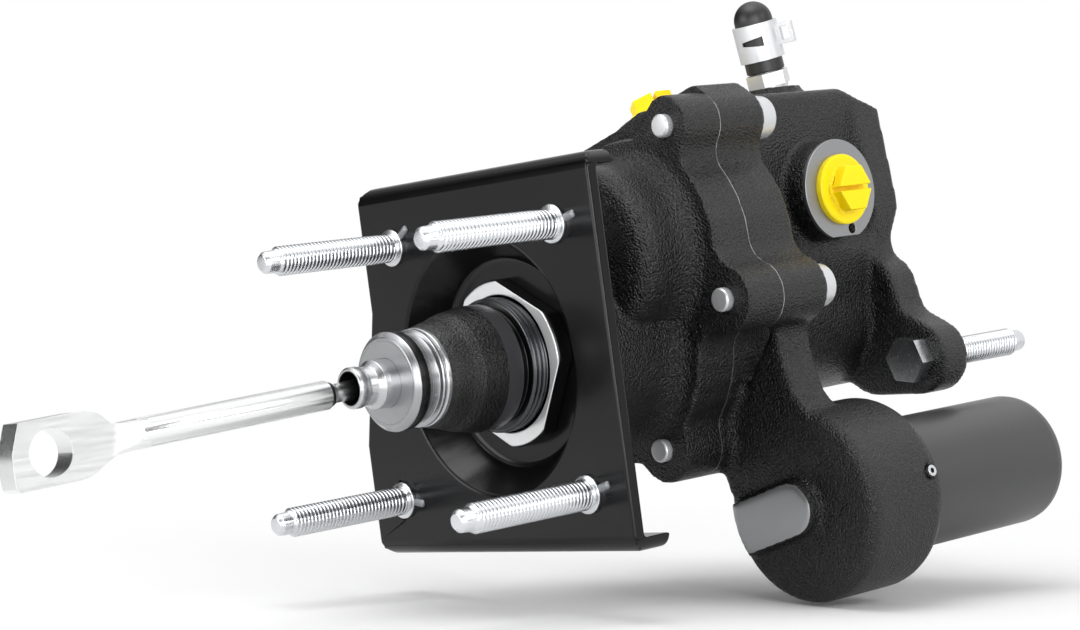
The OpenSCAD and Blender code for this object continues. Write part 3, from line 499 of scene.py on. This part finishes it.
# the milled face of the right port keeps its crisp outline: it is a thin plate let into
# the casting, cut from the housing's own face
port_face = 0.042
plate_depth = 0.0016
plate_proud = 0.00003
work = bmesh.new()
work.from_mesh(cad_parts["booster_housing"].data)
bmesh.ops.remove_doubles(work, verts=work.verts, dist=2e-6)
others = [face for face in work.faces
          if abs(face.calc_center_median().x - port_face) > 2e-5 or face.normal.x < 0.99]
bmesh.ops.delete(work, geom=others, context="FACES")
bmesh.ops.dissolve_limit(
    work, angle_limit=math.radians(0.5), verts=work.verts, edges=work.edges)
under = bmesh.ops.extrude_face_region(work, geom=work.faces[:])["geom"]
bmesh.ops.translate(work, vec=(-plate_depth, 0, 0),
                    verts=[part for part in under if isinstance(part, bmesh.types.BMVert)])
bmesh.ops.translate(work, vec=(plate_proud, 0, 0), verts=work.verts)
bmesh.ops.recalc_face_normals(work, faces=work.faces)
plate_mesh = bpy.data.meshes.new("milled_port_face")
work.to_mesh(plate_mesh)
work.free()
milled_iron, tree, shader = finish(
    "milled cast iron", Base_Color=linear("#939496"), Metallic=0.85, Roughness=0.36)
speckled(tree, shader, 700.0, 0.1, 0.0001)
plate = edge_softened(placed("milled_port_face", plate_mesh), 0.0003)
fitted(plate, "booster_body", milled_iron, "cast_black")

# Cover neck
# The cover's hollow neck comes through the bracket. Its cone is left as cast, and its
# tip, its collar, its root and the thread for the ring nut are turned on the lathe.
neck_metal, tree, shader = finish(
    "turned and enamelled neck", Roughness=0.26, Specular_IOR_Level=0.4)
place = add(tree, "ShaderNodeTexCoord").outputs["Object"]
height = add(tree, "ShaderNodeSeparateXYZ", Vector=place).outputs["Y"]
neck_front, neck_back = -43, 13
along = add(tree, "ShaderNodeMapRange", Value=height, From_Min=neck_front / 1000,
            From_Max=neck_back / 1000)
tints = add(tree, "ShaderNodeValToRGB", Fac=along.outputs["Result"])
bare = add(tree, "ShaderNodeValToRGB", Fac=along.outputs["Result"])
# each band starts at its own y in mm: face, enamelled rim, brushed groove, collar, cast cone,
# turned root, relief and thread; the relief's near-black is painted shade in its groove
cone_front, cone_back = -28.6, -8.5
bands = ((neck_front, "#a0a1a3", 0.9), (-41.2, "#060607", 0), (-37, "#a6a7a9", 0.9),
         (-32, "#b9babc", 1), (cone_front, "#050506", 0), (cone_back, "#434345", 0),
         (-1.9, "#040405", 0), (1.2, "#4c4d4f", 1))
for ramp, part in ((tints.color_ramp, 0), (bare.color_ramp, 1)):
    ramp.interpolation = "CONSTANT"
    while len(ramp.elements) < len(bands):
        ramp.elements.new(1.0)
    for stop, (start_y, tint, metal) in zip(ramp.elements, bands):
        stop.position = (start_y - neck_front) / (neck_back - neck_front)
    for stop, (start_y, tint, metal) in zip(ramp.elements, bands):
        stop.color = (metal, metal, metal, 1) if part else linear(tint)
cast = add(tree, "ShaderNodeMath", {"operation": "COMPARE"}, i0=height,
           i1=(cone_front + cone_back) / 2000, i2=(cone_back - cone_front) / 2000)
grain = add(tree, "ShaderNodeTexNoise", Vector=place, Scale=1300.0, Detail=2.0,
            Roughness=0.6, Distortion=0.5)
rough = add(tree, "ShaderNodeMath", {"operation": "MULTIPLY"},
            i0=grain.outputs["Fac"], i1=cast.outputs[0])
stretched = add(tree, "ShaderNodeMapping", Vector=place, Scale=(40.0, 2600.0, 40.0))
lathe = add(tree, "ShaderNodeTexNoise", Vector=stretched.outputs[0], Scale=1.0, Detail=2.0)
turned_marks = add(tree, "ShaderNodeMath", {"operation": "MULTIPLY"},
                   i0=lathe.outputs["Fac"], i1=0.12)
height = add(tree, "ShaderNodeMath", {"operation": "ADD"},
             i0=rough.outputs[0], i1=turned_marks.outputs[0])
bump = add(tree, "ShaderNodeBump", Height=height.outputs[0], Strength=0.9, Distance=0.0005)
tree.links.new(tints.outputs["Color"], shader.inputs["Base Color"])
tree.links.new(bare.outputs["Color"], shader.inputs["Metallic"])
tree.links.new(bump.outputs["Normal"], shader.inputs["Normal"])
thread_rings = [(r, 1.4 + 1.9 * k + y) for k in range(3)
                for r, y in ((21.6, 0), (22.5, 0.6), (22.5, 1.3), (21.6, 1.8))]
neck = turned("cover_neck", [
    (13.42, -42.88), (13.44, -42.9), (14.6, -42.9), (16.2, -41.3), (16.2, -37.5), (14.5, -37.1),
    (14.5, -32.3), (16, -31.9), (16, -30.7), (15.4, -30.3), (16.2, -29.9), (16.2, -28.5),
    (17.1, -25.9), (18.2, -20.9), (19.6, -16.9), (20.4, -11.9), (21, -8.4), (21, -2),
    (19.4, -1.6), (19.4, 1), *thread_rings, (22, 7.4), (22, 12.6), (9.4, 12.6), (9.4, -31.9),
    (13.42, -31.9)],
    steps=128, radius=0.3)
fitted(neck, "booster_body", neck_metal, "cast_black")

# Cover bolts
# Bolts with round flanged heads behind the housing's flange; their ends just show in the
# cover's ears. They are dipped in zinc flake, a pale satin coat.
flake, tree, shader = finish(
    "satin zinc flake coat", Base_Color=linear("#cfd0d2"), Metallic=0.5, Roughness=0.36)
speckled(tree, shader, 900.0, 0.1, 0.0001, detail=3.0)
bolt = turned("bolt_part", [
    (0, 55.4), (3.4, 55.4), (4, 56), (4, 97), (8, 97), (8, 98.6), (7.4, 105), (6.4, 106),
    (3.4, 106), (3.4, 102), (0, 102)], steps=48, radius=0.4)
bolts = repeated("cover_bolt_set", bolt, [(38.4, 72), (56, 12), (18, -37), (-36, -18), (-26, 50)],
                 flake)
fitted(bolts, "booster_body", flake, "stud_zinc", "cover_bolts")

# Master cylinder bolts
# Hexagon-headed bolts through the rear flange, with a thread of 1.5 mm pitch standing out
# behind it. Zinc plated steel.
long_bolt = turned("long_bolt_part", [
    (0, 160), (5.3, 160), (5.3, 174.6), (4.45, 175), (4.45, 213.6), (4, 215), (3.8, 219),
    (3, 220), (0, 220)], steps=40, radius=0.3)
grown(long_bolt, thread_tree, Length=0.038, Start=0.1754, Finish=zinc, **thread)
long_bolts = repeated("rear_bolt_threads", long_bolt, [(46, -19.5), (-46, 19.5)], zinc)
fitted(long_bolts, "booster_body", zinc, "stud_zinc")
hexagons = edge_softened(solid_copy("master_cylinder_bolts", "rear_bolt_heads"), 0.0004, 40)
# behind the heads the threaded piece takes over
heads_end = 0.1611
sliced(hexagons.data, heads_end, 1)
fitted(hexagons, "booster_body", zinc, "stud_zinc", "master_cylinder_bolts")

# Accumulator can
# A drawn steel can, closed at its far end, held in the cast cup. It is sprayed with a
# smooth dark grey paint, and the end of its wire ring shows in the cup's side.
can_paint, tree, shader = finish(
    "smooth dark grey paint", Base_Color=linear("#3c3c3d"), Roughness=0.36)
speckled(tree, shader, 320.0, 0.05, 0.0002)
can_axis = (56, -61)
can = turned("gas_can", [
    (0, 195), (19.3, 195), (21.3, 193), (21.3, 96), (23.3, 96), (23.3, 192), (22.9, 194.2),
    (21.9, 195.8), (20.6, 196.7), (19.3, 197), (0, 197)], steps=128, radius=0.3, at=can_axis)
fitted(can, "booster_body", can_paint, "can_paint", "accumulator_can")
ring = edge_softened(solid_copy("accumulator_ring", "can_lock_ring"), 0.0002)
fitted(ring, "booster_body", zinc, "rod_zinc", "accumulator_ring")

# Push rod
# Forged steel rod with a flat eye at its end; the shank is turned, the eye is coined
# flat, and the whole is bright plated.
plated_steel, tree, shader = finish(
    "bright plated forging", Metallic=1.0, Roughness=0.22)
place = add(tree, "ShaderNodeTexCoord").outputs["Object"]
# a narrow band at the shank's end, where a groove is turned, is painted dark as the groove's
# shade
along = add(tree, "ShaderNodeSeparateXYZ", Vector=place).outputs["Y"]
groove_shade_middle, groove_shade_half = -0.0667, 0.0009
groove = add(tree, "ShaderNodeMath", {"operation": "COMPARE"}, i0=along, i1=groove_shade_middle,
             i2=groove_shade_half)
tint = add(tree, "ShaderNodeMix", {"data_type": "RGBA"}, Factor=groove.outputs[0],
           i6=linear("#eceded"), i7=linear("#47484a"))
tree.links.new(tint.outputs[2], shader.inputs["Base Color"])
stretched = add(tree, "ShaderNodeMapping", Vector=place, Scale=(900.0, 60.0, 900.0))
_, brushed = speckled(tree, shader, 1.0, 0.05, 0.0001, detail=3.0, place=stretched.outputs[0])
clouded(tree, shader, brushed, 0.14, 0.3)
rod = edge_softened(solid_copy("input_rod", "push_rod"), 0.0004, 30)
fitted(rod, "rod_body", plated_steel, "rod_zinc", "input_rod")

# Plunger and gland
# The ground plunger that the rod's ball sits in, guided by a turned gland in the tip of
# the neck.
turned_steel, tree, shader = finish(
    "turned grey steel", Base_Color=linear("#a2a3a5"), Metallic=0.9, Roughness=0.3)
ringed(tree, shader, 1600.0, 0.3, 0.08, 0.00006)
plunger_steel, tree, shader = finish("brushed steel, shade painted in its bore", Roughness=0.27)
place = add(tree, "ShaderNodeTexCoord").outputs["Object"]
flat = add(tree, "ShaderNodeVectorMath", {"operation": "MULTIPLY"}, i0=place, i1=(1, 0, 1))
out_by = add(tree, "ShaderNodeVectorMath", {"operation": "LENGTH"}, i0=flat.outputs[0])
# inside the bore the steel is painted near-black as the hole's shade
bore_radius = 0.0056
outside = add(tree, "ShaderNodeMath", {"operation": "GREATER_THAN"},
              i0=out_by.outputs["Value"], i1=bore_radius)
tint = add(tree, "ShaderNodeMix", {"data_type": "RGBA"}, Factor=outside.outputs[0],
           i6=linear("#0e0e0f"), i7=linear("#bcbdbf"))
stretched = add(tree, "ShaderNodeMapping", Vector=place, Scale=(60.0, 2200.0, 60.0))
speckled(tree, shader, 1.0, 0.3, 0.0001, detail=3.0, place=stretched.outputs[0])
tree.links.new(tint.outputs[2], shader.inputs["Base Color"])
tree.links.new(outside.outputs[0], shader.inputs["Metallic"])
plunger = edge_softened(solid_copy("input_plunger", "ground_plunger"), 0.0002, 30)
fitted(plunger, "plunger_body", plunger_steel, "ground_steel", "input_plunger")
gland = edge_softened(solid_copy("neck_gland", "turned_gland"), 0.00002, 30)
fitted(gland, "booster_body", turned_steel, "gland_steel", "neck_gland")

# Port plugs
# Yellow polyethylene shipping plugs, moulded in one piece: a round flange and a slotted
# grip for the fingers.
plug_plastic, tree, shader = finish(
    "yellow moulded polyethylene", Base_Color=linear("#ffde00"), Roughness=0.45,
    Specular_IOR_Level=0.3, Subsurface_Weight=0.35, Subsurface_Scale=0.004,
    Subsurface_Radius=(1.0, 0.85, 0.2))
speckled(tree, shader, 500.0, 0.04, 0.0002)
for side in ("right", "left"):
    plug = solid_copy(f"port_plug_{side}", f"yellow_plug_{side}")
    if side == "right":
        # the moulded grip is a little wider and shorter than its plain solid
        grip_root, grip_end = port_face + 0.0032, port_face + 0.009
        port_y, port_z = 0.137, 0.044
        wider, taller, shorter = 1.16, 1.03, 0.0014
        for vertex in plug.data.vertices:
            if vertex.co.x > grip_root:
                vertex.co.y = port_y + (vertex.co.y - port_y) * wider
                vertex.co.z = port_z + (vertex.co.z - port_z) * taller
            if vertex.co.x > grip_end - 1e-4:
                vertex.co.x -= shorter
    edge_softened(plug, 0.0004, 35, 3, least=0.0009)
    fitted(plug, f"{side}_plug_body", plug_plastic, "plug_plastic", f"port_plug_{side}")

# Return fitting with its cap and clamp
# A plated hose nipple screwed into the block, closed for shipping by a rubber cap under a
# spring band clamp.
nipple = edge_softened(solid_copy("return_fitting", "hose_nipple"), 0.0003, 35)
fitted(nipple, "booster_body", flake, "stud_zinc", "return_fitting")
rubber, tree, shader = finish(
    "black moulded rubber", Base_Color=linear("#0c0c0c"), Roughness=0.42)
speckled(tree, shader, 380.0, 0.06, 0.0002, detail=3.0)
cap = edge_softened(solid_copy("return_cap", "rubber_cap"), 0.0004, 35)
fitted(cap, "cap_body", rubber, "cap_rubber", "return_cap")
clamp = edge_softened(solid_copy("cap_clamp", "band_clamp"), 0.0002, 35)
fitted(clamp, "cap_body", flake, "stud_zinc", "cap_clamp")

# Working parts inside
# They stay as the CAD made them and take the finish of what they are.
spring_steel, tree, shader = finish(
    "oiled spring wire", Base_Color=linear("#85878a"), Metallic=1.0, Roughness=0.3)
place = add(tree, "ShaderNodeTexCoord").outputs["Object"]
drawn = add(tree, "ShaderNodeTexNoise", Vector=place, Scale=800.0, Detail=2.0)
clouded(tree, shader, drawn, 0.22, 0.4)
alloy, tree, shader = finish(
    "turned aluminium alloy", Base_Color=linear("#cfd0d3"), Metallic=1.0, Roughness=0.32)
speckled(tree, shader, 900.0, 0.05, 0.0001)
brass, tree, shader = finish(
    "turned brass", Base_Color=linear("#d6b25e"), Metallic=1.0, Roughness=0.28)
speckled(tree, shader, 900.0, 0.05, 0.0001)
for material, nodes in (
        (rubber, ("cover_gasket", "plunger_seal", "piston_seal", "accumulator_seal")),
        (spring_steel, ("return_spring", "spool_spring")),
        (alloy, ("power_piston", "accumulator_piston")),
        (brass, ("accumulator_valve", "port_seats")),
        (turned_steel, ("gland_ring", "output_guide", "spool_plug")),
        (ground, ("control_lever", "lever_pin", "output_rod", "spool_valve"))):
    for name in nodes:
        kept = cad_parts[name]
        kept.data.materials.clear()
        kept.data.materials.append(material)

# Floor and light
# A pale studio table under the booster and soft lamps round it. The table is level in
# the photograph, so it leans a little in the booster's own frame.
up = -photo_down
lowest = Vector((0.056, 0.097, -0.094))
clearance, reach = 0.0025, 3
floor_mesh = bpy.data.meshes.new("studio_floor")
work = bmesh.new()
across = up.orthogonal().normalized()
other = up.cross(across)
foot = lowest - up * clearance
for a, b in ((-1, -1), (1, -1), (1, 1), (-1, 1)):
    work.verts.new(foot + across * a * reach + other * b * reach)
work.faces.new(work.verts)
bmesh.ops.recalc_face_normals(work, faces=work.faces)
work.to_mesh(floor_mesh)
work.free()
floor = placed("studio_floor", floor_mesh)
paper, tree, shader = finish("white studio paper", Base_Color=linear("#f7f7f7"), Roughness=0.9)
place, _ = speckled(tree, shader, 200.0, 0.02, 0.0002)
# the sweep of paper runs out into plain white round the booster, between these distances
# from its foot
booster_foot = (0.02, 0.07, -0.1)
shaded_to, white_from = 0.16, 0.5
rays = add(tree, "ShaderNodeLightPath").outputs
seen = add(tree, "ShaderNodeMath", {"operation": "MAXIMUM"},
           i0=rays["Is Camera Ray"], i1=rays["Is Glossy Ray"])
seen = add(tree, "ShaderNodeMath", {"operation": "MAXIMUM"},
           i0=seen.outputs[0], i1=rays["Is Transmission Ray"])
apart = add(tree, "ShaderNodeVectorMath", {"operation": "DISTANCE"}, i0=place,
            i1=booster_foot)
far = add(tree, "ShaderNodeMapRange", {"interpolation_type": "SMOOTHSTEP"},
          Value=apart.outputs["Value"], From_Min=shaded_to, From_Max=white_from)
white = add(tree, "ShaderNodeMath", {"operation": "MULTIPLY"},
            i0=seen.outputs[0], i1=far.outputs["Result"])
# towards the camera the table is lit more, for whatever mirrors it there
ahead = add(tree, "ShaderNodeVectorMath", {"operation": "DOT_PRODUCT"}, i0=place,
            i1=tuple(-photo_forward))
table = add(tree, "ShaderNodeMapRange", {"interpolation_type": "SMOOTHSTEP"},
            Value=ahead.outputs["Value"], From_Min=0.2, From_Max=0.5, To_Min=0.85, To_Max=3.4)
bright = add(tree, "ShaderNodeMix", {"data_type": "FLOAT"}, Factor=rays["Is Glossy Ray"],
             i2=1.0, i3=table.outputs["Result"])
glow = add(tree, "ShaderNodeEmission", Color=(1, 1, 1, 1), Strength=bright.outputs[0])
sweep = add(tree, "ShaderNodeMixShader", Fac=white.outputs[0], i1=shader.outputs[0],
            i2=glow.outputs[0])
out = next(node for node in tree.nodes if node.type == "OUTPUT_MATERIAL")
tree.links.new(sweep.outputs[0], out.inputs["Surface"])
floor_mesh.materials.append(paper)

world = bpy.data.worlds.new("white studio")
bpy.context.scene.world = world
world.use_nodes = True
tree = world.node_tree
tree.nodes.clear()
rays = add(tree, "ShaderNodeLightPath").outputs
# what the black enamel and the bright plate mirror: white paper behind and overhead, a
# small bright lamp beside the camera, and a dim room in front of the bracket
look = add(tree, "ShaderNodeTexCoord").outputs["Generated"]
mirrored = None
for towards, start, full, bright in (
        ((0, 1, 0), 0.0, 0.95, 1.1), (up, 0.45, 0.95, 2.0), (-photo_forward, 0.86, 0.985, 5.0)):
    side = add(tree, "ShaderNodeVectorMath", {"operation": "DOT_PRODUCT"}, i0=look, i1=towards)
    sheet = add(tree, "ShaderNodeMapRange", {"interpolation_type": "SMOOTHSTEP"},
                Value=side.outputs["Value"], From_Min=start, From_Max=full, To_Min=0.04,
                To_Max=bright)
    mirrored = sheet if mirrored is None else add(
        tree, "ShaderNodeMath", {"operation": "MAXIMUM"},
        i0=mirrored.outputs[0], i1=sheet.outputs[0])
lit = add(tree, "ShaderNodeMix", {"data_type": "FLOAT"}, Factor=rays["Is Glossy Ray"], i2=0.6,
          i3=mirrored.outputs[0])
clear = add(tree, "ShaderNodeMath", {"operation": "MAXIMUM"},
            i0=rays["Is Camera Ray"], i1=rays["Is Transmission Ray"])
strength = add(tree, "ShaderNodeMix", {"data_type": "FLOAT"}, Factor=clear.outputs[0],
               i2=lit.outputs[0], i3=1.0)
air = add(tree, "ShaderNodeBackground", Color=(1, 1, 1, 1), Strength=strength.outputs[0])
add(tree, "ShaderNodeOutputWorld", Surface=air.outputs[0])

# three broad lamps, and two upright strips that draw bright lines along the edges, all
# turned to one point in the booster
aim = Vector((0, 0.05, 0))
for name, spot, width, tall, power in (
        ("lamp_top", (0.1, -0.2, 1.3), 0.9, 0.9, 7.5),
        ("lamp_front_left", (-0.6, -1.2, 0.5), 0.8, 0.8, 7.0),
        ("lamp_right", (1.4, 0.5, 0.5), 0.7, 0.7, 6.0),
        ("strip_right", (1.41, -0.45, 0.3), 0.07, 0.9, 4.5),
        ("strip_front", (-0.1, -1.5, 0.3), 0.07, 0.9, 4.5)):
    data = bpy.data.lights.new(name, "AREA")
    data.shape = "RECTANGLE"
    data.size = width
    data.size_y = tall
    data.energy = power
    lamp = placed(name, data)
    lamp.location = spot
    lamp.rotation_mode = "QUATERNION"
    lamp.rotation_quaternion = (aim - Vector(spot)).to_track_quat("-Z", "Y")

bpy.context.scene.view_settings.view_transform = "Standard"
